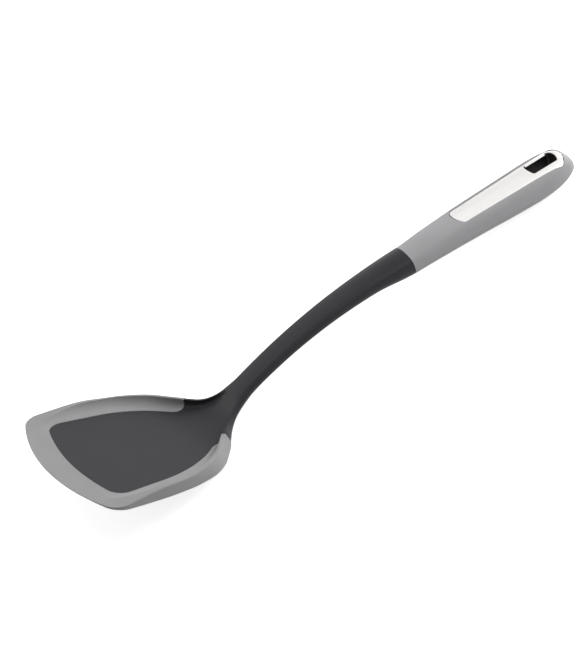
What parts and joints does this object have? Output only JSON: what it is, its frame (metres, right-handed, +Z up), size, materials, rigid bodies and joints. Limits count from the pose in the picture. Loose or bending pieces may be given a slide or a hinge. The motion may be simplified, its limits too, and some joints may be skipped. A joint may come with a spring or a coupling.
{
  "type": "grill spatula",
  "caption": "Deep turner: shallow walled blade with a soft silicone edge, arched shaft, and a soft grip with a steel inlay and a hanging slot.",
  "frame": {"origin": "centre of the bounding box on the surface the tool lies on", "axes": "+X from the blade towards the handle's end, +Y to the tool's left, +Z up. The tool lies at rest on the heel of its blade and the end of its handle, so the blade's front edge is raised"},
  "size_m": [0.3376, 0.1086, 0.0399],
  "materials": {
    "nylon": "satin",
    "silicone": "matte",
    "grip_rubber": "satin",
    "core_plastic": "matte",
    "inlay_steel": "finely brushed",
    "adhesive_pad": "matte",
    "pin_steel": "turned"
  },
  "bodies": {
    "root": {"turner_head": "nylon", "silicone_edge": "silicone", "soft_grip": "grip_rubber", "core_upper": "core_plastic", "core_lower": "core_plastic", "steel_inlay": "inlay_steel", "inlay_adhesive": "adhesive_pad", "tang_pins": "pin_steel"}
  },
  "joints": []
}
